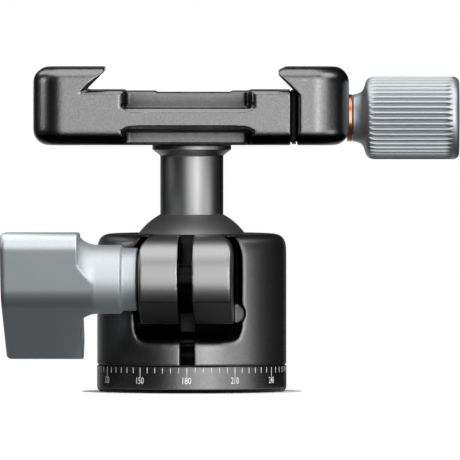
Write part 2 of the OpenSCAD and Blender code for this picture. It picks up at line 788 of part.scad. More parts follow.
// Outline of the knob's neck and flare, radius across and length up
module knob_flare() {
  neck_r = knob_neck_d / 2;
  rise = knob_d / 2 - 1.5 * flute_depth - neck_r;
  polygon([
    [0, 0], [neck_r, 0],
    for (share = knob_flare_shares) [neck_r + share[0] * rise, share[1] * knob_flare_l],
    [0, knob_flare_l],
  ]);
}

// Section of the grip with its flutes
module knob_grip() {
  difference() {
    circle(d = knob_d);
    for (i = [0 : flute_count - 1])
      rotate(360 * i / flute_count) translate([knob_d / 2, 0]) circle(r = flute_depth, $fn = 24);
  }
}

module clamp_knob() {
  color("#93979b") difference() {
    on_knob_axis(knob_start) {
      rotate_extrude() knob_flare();
      translate([0, 0, knob_flare_l]) linear_extrude(knob_l - knob_flare_l - knob_band) knob_grip();
      translate([0, 0, knob_l - knob_band]) rotate_extrude()
        round_box(knob_d / 2, knob_band, [0, 0, flute_depth, 0]);
    }
    on_knob_axis(knob_start - over) cylinder(r = screw_r, h = screw_grip + over);
    set_screw_place() cylinder(d = set_screw_d, h = wide);
  }
}

// Side of the knob away from the lever, with Z outwards from the stud
module set_screw_place() {
  on_knob_axis(knob_start + screw_grip - set_screw_back) translate([0, screw_r, 0])
    rotate([-90, 0, 0]) children();
}

module knob_set_screw() {
  length = knob_d / 2 - screw_r - flute_depth * 2;
  color("#2a2a2c") set_screw_place() difference() {
    cylinder(d = set_screw_d - running_gap / 5, h = length);
    translate([0, 0, length / 2]) cylinder(d = set_screw_d / 2, h = wide, $fn = 6);
  }
}

module clamp_stud() {
  start = clamp_right - screw_reach;
  color("#b9bbbd") difference() {
    on_knob_axis(start) cylinder(r = screw_r - running_gap / 10, h = knob_start + screw_grip - start);
    on_knob_axis(clip_start - close_gap)
      ring(screw_r + over, screw_r - clip_t / 2 - close_gap, clip_t + 2 * close_gap);
  }
}

module stud_clip() {
  color("#2a2a2c") on_knob_axis(clip_start) ring(clip_d / 2, screw_r - clip_t / 2, clip_t);
}

pan_base();
tripod_bush();
pan_friction_ring();
housing();
pan_screws();
ball_seat();
disc_spring();
lug_bush();
lug_insert();
lock_lever();
lock_stud();
lever_screw();
ball();
stem();
clamp_base();
clamp_screw();
clamp_screw_washer();
jaw_springs();
clamp_jaw();
guide_pins();
knob_washer();
clamp_knob();
clamp_stud();
stud_clip();
knob_set_screw();
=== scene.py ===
import math

import bmesh
import bpy
from mathutils import Matrix, Vector


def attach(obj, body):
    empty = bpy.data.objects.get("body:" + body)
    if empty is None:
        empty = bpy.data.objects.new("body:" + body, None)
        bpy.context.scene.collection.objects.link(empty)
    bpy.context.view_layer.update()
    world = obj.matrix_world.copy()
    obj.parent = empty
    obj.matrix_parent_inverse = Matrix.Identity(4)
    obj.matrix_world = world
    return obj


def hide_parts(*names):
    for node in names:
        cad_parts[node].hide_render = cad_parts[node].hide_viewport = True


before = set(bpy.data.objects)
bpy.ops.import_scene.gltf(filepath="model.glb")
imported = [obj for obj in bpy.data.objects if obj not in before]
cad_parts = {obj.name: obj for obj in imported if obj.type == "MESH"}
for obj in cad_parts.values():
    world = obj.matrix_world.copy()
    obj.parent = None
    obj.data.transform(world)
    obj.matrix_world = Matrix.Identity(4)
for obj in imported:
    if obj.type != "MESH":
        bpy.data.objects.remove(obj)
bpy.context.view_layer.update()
mm = 0.001  # shapes are made in millimetres and brought to metres at the end
far = 30.0  # mm, outside the housing, where its cutting shapes end
fineSteps = 240  # sides of the widest turned shapes
print("stage: frame loaded")


def roundCorners(corners, segments=6):
    # corners are (x, y) or (x, y, radius), in order; each radius becomes an arc
    outline = []
    for i, corner in enumerate(corners):
        here = Vector(corner[:2])
        radius = corner[2] if len(corner) > 2 else 0
        if radius == 0:
            outline.append(tuple(here))
            continue
        back = (Vector(corners[i - 1][:2]) - here).normalized()
        ahead = (Vector(corners[(i + 1) % len(corners)][:2]) - here).normalized()
        half = back.angle(ahead) / 2
        centre = here + (back + ahead).normalized() * radius / math.sin(half)
        start = here + back * radius / math.tan(half) - centre
        end = here + ahead * radius / math.tan(half) - centre
        turn = math.atan2(start.x * end.y - start.y * end.x, start.dot(end))
        first = math.atan2(start.y, start.x)
        for k in range(segments + 1):
            angle = first + turn * k / segments
            outline.append((centre.x + radius * math.cos(angle), centre.y + radius * math.sin(angle)))
    return outline


def square(u0, v0, u1, v1):
    return [(u0, v0), (u1, v0), (u1, v1), (u0, v1)]


def arc(radius, first, last, steps, centre=(0.0, 0.0)):
    # angles in degrees; gives (across, along) points
    return [(centre[0] + radius * math.cos(math.radians(first + (last - first) * k / steps)),
             centre[1] + radius * math.sin(math.radians(first + (last - first) * k / steps)))
            for k in range(steps + 1)]


def roundOver(radius, steps):
    # a quarter round as (in from the side, in from the face), from the face to the side
    return [(radius * (1 - math.cos(t)), radius * (1 - math.sin(t)))
            for t in [math.pi / 2 * k / steps for k in range(steps + 1)]]


def inset(outline, by):
    # an anticlockwise outline with every side moved inwards by the same distance
    leastShare = 0.4  # sharper corners than this don't run further in
    moved = []
    for i, here in enumerate(outline):
        a = (Vector(here) - Vector(outline[i - 1])).normalized()
        b = (Vector(outline[(i + 1) % len(outline)]) - Vector(here)).normalized()
        inward = Vector((-a.y - b.y, a.x + b.x)).normalized()
        share = max(leastShare, inward.dot(Vector((-a.y, a.x))))
        moved.append(tuple(Vector(here) + inward * by / share))
    return moved


def smoothShare(value):
    # held between 0 and 1, and eased at both ends
    share = min(1, max(0, value))
    return share * share * (3 - 2 * share)


def along(axis, u, v, w, centre=(0, 0, 0)):
    # u and v lie across the axis, w along it
    point = {"x": (w, u, v), "y": (u, w, v), "z": (u, v, w)}[axis]
    return tuple(p + c for p, c in zip(point, centre))


def meshOf(name, points, faces):
    mesh = bpy.data.meshes.new(name)
    mesh.from_pydata(points, [], faces)
    work = bmesh.new()
    work.from_mesh(mesh)
    bmesh.ops.remove_doubles(work, verts=work.verts, dist=0.00001)
    bmesh.ops.recalc_face_normals(work, faces=work.faces)
    work.to_mesh(mesh)
    work.free()
    return mesh


def loft(sections):
    # closed loops with as many points each, capped at both ends
    count = len(sections[0])
    points = [p for section in sections for p in section]
    faces = [tuple(range(count)), tuple(range(len(points) - count, len(points)))]
    for s in range(len(sections) - 1):
        for k in range(count):
            n = (k + 1) % count
            a, b = s * count, (s + 1) * count
            faces.append((a + k, a + n, b + n, b + k))
    return meshOf("loft", points, faces)


def prism(outline, low, high, axis):
    return loft([[along(axis, u, v, w) for u, v in outline] for w in (low, high)])


def turned(outline, axis="z", centre=(0, 0, 0), steps=160):
    # outline is (radius, distance along the axis), a closed loop
    onAxis = 0.000001  # a point this near to the axis is one point, not a ring
    points, rings, faces = [], [], []
    for radius, w in outline:
        count = 1 if radius < onAxis else steps
        rings.append((len(points), count))
        for k in range(count):
            angle = 2 * math.pi * k / steps
            points.append(along(axis, radius * math.cos(angle), radius * math.sin(angle), w, centre))
    for i, (a, countA) in enumerate(rings):
        b, countB = rings[(i + 1) % len(rings)]
        if countA == 1 and countB == 1:
            continue
        for k in range(steps):
            n = (k + 1) % steps
            if countA == 1:
                faces.append((a, b + k, b + n))
            elif countB == 1:
                faces.append((a + k, b, a + n))
            else:
                faces.append((a + k, b + k, b + n, a + n))
    return meshOf("turned", points, faces)


def rod(radius, low, high, axis="z", centre=(0, 0, 0), steps=96):
    return turned([(0, low), (radius, low), (radius, high), (0, high)], axis, centre, steps)


def linked(name, mesh):
    obj = bpy.data.objects.new(name, mesh)
    bpy.context.scene.collection.objects.link(obj)
    return obj


def evaluated(obj):
    bpy.context.view_layer.update()
    depsgraph = bpy.context.evaluated_depsgraph_get()
    return bpy.data.meshes.new_from_object(obj.evaluated_get(depsgraph), depsgraph=depsgraph)


def carved(start, steps, voxel=0, smoothing=0, keep=1.0):
    # start with one solid, add and cut the others in order, then soften the edges
    base = linked("work", start)
    tools = []
    for operation, mesh in steps:
        tool = linked("tool", mesh)
        tools.append(tool)
        boolean = base.modifiers.new("carve", "BOOLEAN")
        boolean.operation = operation
        boolean.object = tool
        boolean.solver = "MANIFOLD"
    if voxel:
        remesh = base.modifiers.new("even", "REMESH")
        remesh.mode = "VOXEL"
        remesh.voxel_size = voxel
    if smoothing:
        smooth = base.modifiers.new("soften", "SMOOTH")
        smooth.factor = 0.5
        smooth.iterations = smoothing
    if keep < 1:
        decimate = base.modifiers.new("thin", "DECIMATE")
        decimate.ratio = keep
    mesh = evaluated(base)
    for obj in [base, *tools]:
        bpy.data.objects.remove(obj)
    return mesh


def cuts(*meshes):
    return [("DIFFERENCE", mesh) for mesh in meshes]


def flatFacesKept(mesh):
    # corner normals lean on the large faces, so flats stay flat beside soft edges
    for polygon in mesh.polygons:
        polygon.use_smooth = True
    obj = linked("work", mesh)
    weighted = obj.modifiers.new("flats", "WEIGHTED_NORMAL")
    weighted.weight = 60
    result = evaluated(obj)
    bpy.data.objects.remove(obj)
    return result


def finishPiece(name, mesh, material, body, replaced=(), place=None):
    if place:
        mesh.transform(place)
    mesh.transform(Matrix.Scale(mm, 4))
    mesh = flatFacesKept(mesh)
    mesh.name = name
    mesh.materials.clear()
    mesh.materials.append(material)
    obj = linked(name, mesh)
    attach(obj, body)
    if replaced:
        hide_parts(*replaced)
    print("stage:", name, len(mesh.polygons), "faces")
    return obj


def secondFinish(obj, material, chosen, back=Matrix()):
    # for the faces whose middle, in mm and brought back to where the piece was made, is chosen
    obj.data.materials.append(material)
    for polygon in obj.data.polygons:
        polygon.material_index = 1 if chosen(back @ (polygon.center / mm)) else 0


def reachFinish(obj, shareAt, back=Matrix()):
    # painted shade as an attribute, from 0 where it is darkest to 1 where there is none, that the finish
    # reads
    reached = obj.data.attributes.new("reach", "FLOAT", "POINT")
    for vertex in obj.data.vertices:
        reached.data[vertex.index].value = shareAt(back @ (vertex.co / mm))


def srgb(code):
    # an sRGB hex colour as the linear values that nodes take
    channels = [int(code[i:i + 2], 16) / 255 for i in (1, 3, 5)]
    return (*[c / 12.92 if c <= 0.04045 else ((c + 0.055) / 1.055) ** 2.4 for c in channels], 1.0)


def addNode(tree, kind, settings=None, links=None):
    node = tree.nodes.new(kind)
    for key, value in (settings or {}).items():
        if isinstance(key, str) and hasattr(node, key):
            setattr(node, key, value)
        else:
            node.inputs[key].default_value = value
    for key, (source, output) in (links or {}).items():
        tree.links.new(source.outputs[output], node.inputs[key])
    return node


def newMaterial(name):
    material = bpy.data.materials.new(name)
    material.use_nodes = True
    tree = material.node_tree
    tree.nodes.clear()
    output = addNode(tree, "ShaderNodeOutputMaterial")
    shader = addNode(tree, "ShaderNodeBsdfPrincipled")
    tree.links.new(shader.outputs[0], output.inputs[0])
    return material, shader


def plainFinish(name, code, roughness, specular=0.5):
    material, shader = newMaterial(name)
    shader.inputs["Base Color"].default_value = srgb(code)
    shader.inputs["Roughness"].default_value = roughness
    shader.inputs["Specular IOR Level"].default_value = specular
    return material


def blastedMetal(name, low, high, roughness, grain, depth, spread=0.02, worn=0.0, corners=0.9,
                 shadeMapped=False, gap=6.0, shut=0.3, clear=0.85):
    # Blasted with fine beads and anodised: a satin skin of tiny dents that sparkles a little and
    # is paler where edges have rubbed. The real dents are 0.05 mm; they are drawn wider, to show.
    # Painted shade: the colour darkens towards near black in narrow gaps and inner corners, read from ambient
    # occlusion, and where a piece's painted shade map says.
    # grain, depth and gap are in mm. Turned and plain metals use the same nodes with a finer skin.
    material, shader = newMaterial(name)
    tree = material.node_tree
    patch = 9 * mm  # the gloss wanders a little from patch to patch
    bareMetal, shadeColour = srgb("#a9abad"), srgb("#040404")
    place = addNode(tree, "ShaderNodeTexCoord")
    fine = addNode(tree, "ShaderNodeTexNoise",
        {"Scale": 1 / (grain * mm), "Detail": 3.0, "Roughness": 0.6}, {"Vector": (place, "Object")})
    broad = addNode(tree, "ShaderNodeTexNoise", {"Scale": 1 / patch, "Detail": 2.0},
        {"Vector": (place, "Object")})
    tint = addNode(tree, "ShaderNodeMix", {"data_type": "RGBA", 6: srgb(low), 7: srgb(high)},
        {0: (fine, "Fac")})
    edge = addNode(tree, "ShaderNodeNewGeometry")
    rubbed = addNode(tree, "ShaderNodeMapRange", {"From Min": 0.54, "From Max": 0.66, "To Max": worn},
        {"Value": (edge, "Pointiness")})
    colour = addNode(tree, "ShaderNodeMix", {"data_type": "RGBA", 7: bareMetal},
        {0: (rubbed, "Result"), 6: (tint, 2)})
    # painted shade from ambient occlusion, near black in gaps and inner corners
    inner = addNode(tree, "ShaderNodeAmbientOcclusion",
        {"samples": 8, "only_local": True, "Distance": gap * mm})
    unshadedShare = addNode(tree, "ShaderNodeMapRange",
        {"From Min": shut, "From Max": clear, "To Min": 1 - corners}, {"Value": (inner, "AO")})
    if shadeMapped:  # the piece carries its own painted shade map
        reach = addNode(tree, "ShaderNodeAttribute", {"attribute_name": "reach"})
        unshadedShare = addNode(tree, "ShaderNodeMath", {"operation": "MULTIPLY"},
            {0: (unshadedShare, "Result"), 1: (reach, "Fac")})
    shadedColour = addNode(tree, "ShaderNodeMix", {"data_type": "RGBA", 6: shadeColour},
        {0: (unshadedShare, 0), 7: (colour, 2)})
    gloss = addNode(tree, "ShaderNodeMapRange",
        {"To Min": roughness - spread, "To Max": roughness + spread}, {"Value": (broad, "Fac")})
    bump = addNode(tree, "ShaderNodeBump", {"Strength": 0.5, "Distance": depth * mm},
        {"Height": (fine, "Fac")})
    tree.links.new(shadedColour.outputs[2], shader.inputs["Base Color"])
    tree.links.new(gloss.outputs[0], shader.inputs["Roughness"])
    tree.links.new(bump.outputs[0], shader.inputs["Normal"])
    shader.inputs["Metallic"].default_value = 1.0
    return material


# clamp and jaw: the smoothest of the blasted blacks, so long soft highlights lie on their edges; painted
# shade is strongest in their gaps and corners
blackAnodised = blastedMetal("beadBlastedBlackAnodised", "#616161", "#848484", 0.28, grain=0.36, depth=0.06,
    worn=0.15, shadeMapped=True, gap=7.0, shut=0.52, clear=0.98)
# base and housing: a duller black that spreads the light, coarser on the housing, which carries a painted
# shade map
panAnodised = blastedMetal("blastedTurnedBlackAnodised", "#616161", "#818181", 0.38, grain=0.36, depth=0.05,
    worn=0.1)
housingAnodised = blastedMetal("coarseBlastedBlackAnodised", "#6e6e6e", "#8e8e8e", 0.4, grain=0.36,
    depth=0.06, worn=0.1, shadeMapped=True)
# milled and turned after blasting: even, with hardly any grain; the lug faces are a paler copy of the
# housing's black, as painted light, and the turned stem is paler too
lugPaintedLight = blastedMetal("paintedLightBlackAnodised", "#929292", "#9c9c9c", 0.38, grain=0.25, depth=0.004,
    shadeMapped=True)
turnedAnodised = blastedMetal("turnedBlackAnodised", "#949494", "#9e9e9e", 0.38, grain=0.25, depth=0.004)
# lever, hub and knob: undyed, a cool silver grey; the hub is palest, and painted shade darkens the flutes
greyAnodised = blastedMetal("satinGreyAnodised", "#cbd1d5", "#d5dbdf", 0.53, grain=0.3, depth=0.006,
    corners=0.4)
hubAnodised = blastedMetal("turnedGreyAnodised", "#ccd1d4", "#d6dbde", 0.62, grain=0.3, depth=0.006,
    corners=0.3)
knobAnodised = blastedMetal("satinGreyAnodisedGrip", "#b6bcc0", "#c0c6c9", 0.5, grain=0.3, depth=0.006,
    gap=1.6)
# ball: hard anodised and satin above; lower down, where it turns in its seat inside the housing, near black
# and smooth as painted shade
ballAnodised = blastedMetal("satinHardAnodisedBall", "#b9b9b9", "#c3c3c3", 0.52, grain=0.25, depth=0.004)
ballShadeInside = blastedMetal("paintedShadeHardAnodisedBall", "#161617", "#1e1e1f", 0.3, grain=0.25, depth=0.004)
# turned copper with a warm soft gleam; bright and blackened steel; dark oily bronze
copperTurned = blastedMetal("turnedCopper", "#d9875f", "#f0a27c", 0.3, grain=0.3, depth=0.004, spread=0.04)
steelMachined = blastedMetal("machinedStainlessSteel", "#a9abad", "#c4c6c8", 0.3, grain=0.4, depth=0.004,
    spread=0.05)
steelBlack = blastedMetal("blackOxideSteel", "#151516", "#1d1d1e", 0.4, grain=0.3, depth=0.006, spread=0.05)
bronzeTurned = blastedMetal("oiledBronze", "#2c2318", "#3a2f20", 0.4, grain=0.3, depth=0.004, spread=0.05)
# the jaw's inner step: deep black as painted shade for the gap beside it, and smooth
innerStepShade = blastedMetal("paintedShadeBlackAnodised", "#1a1a1b", "#222223", 0.36, grain=0.3, depth=0.004)
# moulded acetal is dull and even; the paint in the engraving is a dead white
plasticBlack = plainFinish("mouldedBlackAcetal", "#080808", 0.7)
whitePaint = plainFinish("whiteEngravingPaint", "#f2f3f3", 0.5)
print("stage: materials")


pan = {"bodyR": 18.0, "rimHeight": 5.0, "lowerEdge": 0.9, "upperEdge": 0.22, "softEdge": 0.3,
       "ringOuterR": 16.4, "ringInnerR": 13.4, "ringFloor": 4.4, "ringEdge": 0.1,
       "spigotR": 12.55, "spigotTop": 9.3, "grooveR": 11.5, "grooveLow": 6.4, "grooveHigh": 8.3,
       "boreR": 6.3, "flangeR": 7.8, "flangeHeight": 1.2,
       "darkInside": 16.35, "darkAbove": 4.3, "darkBelow": 0.72}
rim, spigot, flangeLow = pan["rimHeight"], pan["spigotR"], pan["spigotTop"] - pan["flangeHeight"]
panBase = turned(roundCorners([
    (pan["boreR"], 0, pan["softEdge"]), (pan["bodyR"], 0, pan["lowerEdge"]),
    (pan["bodyR"], rim, pan["upperEdge"]), (pan["ringOuterR"], rim, pan["ringEdge"]),
    (pan["ringOuterR"], pan["ringFloor"]), (pan["ringInnerR"], pan["ringFloor"]),
    (pan["ringInnerR"], rim, pan["ringEdge"]), (spigot, rim), (spigot, pan["grooveLow"]),
    (pan["grooveR"], pan["grooveLow"]), (pan["grooveR"], pan["grooveHigh"]), (spigot, pan["grooveHigh"]),
    (spigot, pan["spigotTop"], pan["softEdge"]), (pan["flangeR"], pan["spigotTop"]),
    (pan["flangeR"], flangeLow), (pan["boreR"], flangeLow)]), steps=fineSteps)
baseObject = finishPiece("panBase", panBase, panAnodised, "base", ["pan_base"])


def panUnblasted(where):
    # painted shade: the spigot, the groove and the under edge get a near-black steel finish
    inside = where.z > pan["darkAbove"] and math.hypot(where.x, where.y) < pan["darkInside"]
    return inside or where.z < pan["darkBelow"]


# painted shade on the pan base's spigot, groove and under edge
secondFinish(baseObject, steelBlack, panUnblasted)

# the degree scale: lengths in mm, angles in degrees; turn swings the whole scale on the base
scale = {"marks": 72, "everyMajor": 6, "minorLength": 1.07, "majorLength": 1.8, "width": 0.17,
         "proud": 0.015, "top": 4.78, "digitHeight": 1.27, "digitMiddle": 2.35, "threeDigitWidth": 1.67,
         "digitStep": 30, "zeroAt": -270, "turn": -2.9}


def treeWith(name, inputs):
    # a Geometry Nodes tree whose inputs are given as (name, kind, first value or None)
    tree = bpy.data.node_groups.new(name, "GeometryNodeTree")
    for label, kind, value in inputs:
        socket = tree.interface.new_socket(label, in_out="INPUT", socket_type="NodeSocket" + kind)
        if value is not None:
            socket.default_value = value
    tree.interface.new_socket("Geometry", in_out="OUTPUT", socket_type="NodeSocketGeometry")
    return tree


def degreeMarksTree():
    # one short bar for each five degrees, a longer one for each thirty
    tree = treeWith("degreeMarks", [
        ("Marks", "Int", scale["marks"]), ("Every", "Int", scale["everyMajor"]),
        ("Radius", "Float", pan["bodyR"]), ("Minor", "Float", scale["minorLength"]),
        ("Major", "Float", scale["majorLength"]), ("Width", "Float", scale["width"]),
        ("Proud", "Float", scale["proud"]), ("Top", "Float", scale["top"]), ("Paint", "Material", None)])
    given = addNode(tree, "NodeGroupInput")
    circle = addNode(tree, "GeometryNodeMeshCircle", None,
        {"Vertices": (given, "Marks"), "Radius": (given, "Radius")})
    index = addNode(tree, "GeometryNodeInputIndex")
    left = addNode(tree, "ShaderNodeMath", {"operation": "MODULO"}, {0: (index, 0), 1: (given, "Every")})
    isMajor = addNode(tree, "FunctionNodeCompare", {"operation": "LESS_THAN", 1: 0.5}, {0: (left, 0)})
    length = addNode(tree, "GeometryNodeSwitch", {"input_type": "FLOAT"},
        {0: (isMajor, 0), 1: (given, "Minor"), 2: (given, "Major")})
    spacing = addNode(tree, "ShaderNodeMath", {"operation": "DIVIDE", 0: 2 * math.pi}, {1: (given, "Marks")})
    angle = addNode(tree, "ShaderNodeMath", {"operation": "MULTIPLY"}, {0: (index, 0), 1: (spacing, 0)})
    turnVector = addNode(tree, "ShaderNodeCombineXYZ", None, {"Z": (angle, 0)})
    thick = addNode(tree, "ShaderNodeMath", {"operation": "MULTIPLY", 1: 2.0}, {0: (given, "Proud")})
    size = addNode(tree, "ShaderNodeCombineXYZ", None,
        {"X": (thick, 0), "Y": (given, "Width"), "Z": (length, 0)})
    bar = addNode(tree, "GeometryNodeMeshCube", {"Size": (1, 1, 1)})
    placed = addNode(tree, "GeometryNodeInstanceOnPoints", None,
        {"Points": (circle, 0), "Instance": (bar, 0), "Rotation": (turnVector, 0), "Scale": (size, 0)})
    half = addNode(tree, "ShaderNodeMath", {"operation": "MULTIPLY", 1: -0.5}, {0: (length, 0)})
    height = addNode(tree, "ShaderNodeMath", {"operation": "ADD"}, {0: (half, 0), 1: (given, "Top")})
    lift = addNode(tree, "ShaderNodeCombineXYZ", None, {"Z": (height, 0)})
    moved = addNode(tree, "GeometryNodeTranslateInstances", {"Local Space": False},
        {0: (placed, 0), 2: (lift, 0)})
    real = addNode(tree, "GeometryNodeRealizeInstances", None, {0: (moved, 0)})
    painted = addNode(tree, "GeometryNodeSetMaterial", None, {0: (real, 0), "Material": (given, "Paint")})
    addNode(tree, "NodeGroupOutput", None, {0: (painted, 0)})
    return tree


def fromTree(tree, start, values):
    # a plain mesh from a node tree; its inputs are set by the sockets' identifiers
    obj = linked("work", start)
    modifier = obj.modifiers.new("made", "NODES")
    modifier.node_group = tree
    for item in tree.interface.items_tree:
        if item.item_type == "SOCKET" and item.in_out == "INPUT" and item.name in values:
            modifier[item.identifier] = values[item.name]
    mesh = evaluated(obj)
    obj.modifiers.clear()
    bpy.data.objects.remove(obj)
    return mesh


def digitMeshes():
    # the number at every thirty degrees, bent round the rim
    points, faces = [], []
    radius = pan["bodyR"] + scale["proud"]
    for value in range(0, 360, scale["digitStep"]):
        text = bpy.data.curves.new("digits", "FONT")
        text.body = str(value)
        text.align_x = "CENTER"
        text.size = 1.0
        text.offset = 0.012
        text.resolution_u = 3
        obj = linked("digits", text)
        flat = evaluated(obj)
        xs = [v.co.x for v in flat.vertices]
        ys = [v.co.y for v in flat.vertices]
        wide = scale["threeDigitWidth"] * (len(text.body) / 3)
        stretchX = wide / (max(xs) - min(xs))
        stretchY = scale["digitHeight"] / (max(ys) - min(ys))
        middleX, middleY = (max(xs) + min(xs)) / 2, (max(ys) + min(ys)) / 2
        middleTurn = math.radians(value + scale["zeroAt"] + scale["turn"])
        first = len(points)
        for v in flat.vertices:
            turn = middleTurn + (v.co.x - middleX) * stretchX / pan["bodyR"]
            points.append((radius * math.cos(turn), radius * math.sin(turn),
                scale["digitMiddle"] + (v.co.y - middleY) * stretchY))
        faces += [tuple(first + i for i in polygon.vertices) for polygon in flat.polygons]
        bpy.data.objects.remove(obj)
    mesh = bpy.data.meshes.new("digits")
    mesh.from_pydata(points, [], faces)
    return mesh


marks = fromTree(degreeMarksTree(), bpy.data.meshes.new("empty"), {"Paint": whitePaint})
marks.transform(Matrix.Rotation(math.radians(scale["turn"] - 90), 4, "Z"))
finishPiece("scaleMarks", marks, whitePaint, "base")
finishPiece("scaleNumbers", digitMeshes(), whitePaint, "base")


# the housing is made square to its slot, and then turned with it
house = {"turn": -2.9, "bodyR": 18.0, "blankLow": 1.0, "low": 5.1, "lowEdge": 0.25, "top": 30.0,
         "edgeR": 2.3, "boreR": 12.65, "ballZ": 22.57, "mouthR": 11.3, "mouthTopR": 12.3, "notchR": 6.3,
         "boltY": -18.2, "boltZ": 21.55, "bushR": 3.75, "bushStart": -9.8, "insertEnd": 7.375,
         "lugR": 8.45, "lugHalf": 8.74, "lugEdge": 0.4, "lugCorner": 3.5, "lugBack": -6.0,
         "lugFront": -15.2, "lugInner": 1.4, "flatAngle": 30, "slot": 2.75, "hubRelief": 6.93,
         "pocketHalf": 9.9, "pocketLow": 9.75, "pocketDrop": 0.3, "pocketRise": 0.8, "pocketBack": -2.0,
         "pocketFloorR": 14.8, "pocketFillet": 2.9, "pocketCorner": 2.6, "pocketTopCorner": 4.6,
         "plugZ": 15.0, "plugR": 2.0, "plugEdge": 0.3, "plugFace": -13.35, "plugBack": -9.0,
         "plugHoleR": 2.15, "plugHoleFloor": -10.2, "grubR": 1.5, "grubZ": 7.35, "grubTurns": (20, 90, 160),
         "fade": 1.9, "fadeIn": 1.0, "flatShade": 0.3}
h = house
yaw = Matrix.Rotation(math.radians(h["turn"]), 4, "Z")
bolt = (0, h["boltY"], h["boltZ"])
half, boltY, top, corner = h["lugHalf"], h["boltY"], h["top"], h["lugCorner"]
wide, lugEdge = h["pocketHalf"], h["lugEdge"]
body = turned(roundCorners([(0, h["blankLow"]), (h["bodyR"], h["blankLow"]),
    (h["bodyR"], top, h["edgeR"]), (0, top)], 12), steps=fineSteps)
pocketRound = turned(roundCorners([
    (far, h["pocketLow"]), (h["pocketFloorR"], h["pocketLow"], h["pocketFillet"]),
    (h["pocketFloorR"], far + 5), (far, far + 5)], 10), steps=fineSteps)
pocketSill, pocketHead = h["pocketLow"] - h["pocketDrop"], top + h["pocketRise"]
pocketFront = prism(roundCorners([
    (-wide, pocketSill, h["pocketCorner"]), (wide, pocketSill, h["pocketCorner"]),
    (wide, pocketHead, h["pocketTopCorner"]), (-wide, pocketHead, h["pocketTopCorner"])]),
    -far, h["pocketBack"], "y")
pocket = carved(pocketRound, [("INTERSECT", pocketFront)])
softBody = carved(body, cuts(pocket, rod(h["hubRelief"], -far, -half, "x", bolt)), voxel=0.34, smoothing=64)
footKeep = turned(roundCorners([(0, h["low"]), (h["bodyR"], h["low"], h["lowEdge"]), (h["bodyR"], 12),
    (far, 12), (far, 40), (0, 40)], 5), steps=fineSteps)

# the two lugs as one round-nosed block with flats underneath; the slot parts them later
lugLow, lugHigh = h["boltZ"] - h["lugR"], h["boltZ"] + h["lugR"]
lugRound = turned(roundCorners([(0, -half), (h["lugR"], -half, lugEdge), (h["lugR"], half, lugEdge),
    (0, half)], 4), "x", bolt)
lugBlock = prism(square(boltY, lugLow, h["lugBack"], lugHigh), -half, half, "x")
slope = math.tan(math.radians(h["flatAngle"]))
flatCut = prism([(boltY, lugLow), (boltY - 12, lugLow + 12 * slope), (boltY - 12, 0), (boltY, 0)],
    -far, far, "x")
cornerKeep = prism(roundCorners([(-half, 0), (half, 0), (half, top, corner), (-half, top, corner)]),
    -far, 0, "y")
lugs = carved(lugRound, [("UNION", lugBlock), ("DIFFERENCE", flatCut), ("INTERSECT", cornerKeep)])

mouthZ = h["ballZ"] + math.sqrt(h["boreR"] ** 2 - h["mouthR"] ** 2)
mouthAngle = math.degrees(math.asin((mouthZ - h["ballZ"]) / h["boreR"]))
flare = (h["mouthTopR"] - h["mouthR"]) / (top - mouthZ)
bore = turned([(0, 0), (h["boreR"], 0), *arc(h["boreR"], 0, mouthAngle, 16, (0, h["ballZ"])),
    (h["mouthTopR"] + flare, top + 1), (0, top + 1)], steps=fineSteps)
notch = prism([*arc(h["notchR"], 180, 360, 32, (0, h["ballZ"])), (h["notchR"], far + 6),
    (-h["notchR"], far + 6)], 0, far, "y")
slot = prism(square(-h["slot"] / 2, -far, h["slot"] / 2, 0), 0, far + 6, "z")
boltHoles = carved(rod(h["bushR"], h["bushStart"], 0, "x", bolt, 64),
    [("UNION", rod(h["bushR"], -0.5, h["insertEnd"], "x", bolt, 64))])
plugAxis = (half, 0, h["plugZ"])
plugHole = rod(h["plugHoleR"], -far, h["plugHoleFloor"], "y", plugAxis, 64)
plug = turned(roundCorners([(0, h["plugFace"]), (h["plugR"], h["plugFace"], h["plugEdge"]),
    (h["plugR"], h["plugBack"]), (0, h["plugBack"])], 3), "y", plugAxis, 64)
housingSteps = [("INTERSECT", footKeep), ("DIFFERENCE", plugHole), ("UNION", plug), ("UNION", lugs),
                *cuts(bore, notch, slot, boltHoles)]
for turn in h["grubTurns"]:
    hole = rod(h["grubR"], 10.0, far, "x", (0, 0, h["grubZ"]), 48)
    hole.transform(Matrix.Rotation(math.radians(turn), 4, "Z"))
    housingSteps += cuts(hole)
housing = carved(softBody, housingSteps, voxel=0.2, smoothing=5, keep=0.42)
housingObject = finishPiece("housing", housing, housingAnodised, "housing", ["housing"],
    yaw)


def onLug(where, above=13.3):
    # on the outside of a lug, and not in the slot
    return h["lugInner"] < abs(where.x) < half + 0.01 and where.y < h["lugFront"] and where.z > above


def housingReach(where):
    # painted shade: dark in the pocket and fading out past its edge; the flats under the lugs are painted
    # dark too
    fromPlug = math.hypot(where.x - half, where.z - h["plugZ"])
    if where.x > half + 0.02 and where.y < -8 and fromPlug < h["plugR"] + 0.2:
        return 1  # the plug is a bright spot in the pocket
    if onLug(where, 13.0):
        flatZ = lugLow + (boltY - where.y) * slope
        return h["flatShade"] if where.z < flatZ + 0.12 and where.y < boltY - 0.3 else 1
    if where.y >= -8 or where.z >= top - 0.4:
        return 1
    middleZ = (h["pocketLow"] + pocketHead) / 2
    outX = abs(where.x) - wide + h["pocketCorner"]
    outZ = abs(where.z - middleZ) - (middleZ - h["pocketLow"]) + h["pocketCorner"]
    outside = math.hypot(max(outX, 0), max(outZ, 0)) + min(max(outX, outZ), 0) - h["pocketCorner"]
    return smoothShare((outside + h["fadeIn"]) / h["fade"])


# painted shade for the pocket and the flats under the lugs
reachFinish(housingObject, housingReach, yaw.inverted())
# painted light: the outsides of the lugs get a paler copy of the housing's black
secondFinish(housingObject, lugPaintedLight, onLug, yaw.inverted())


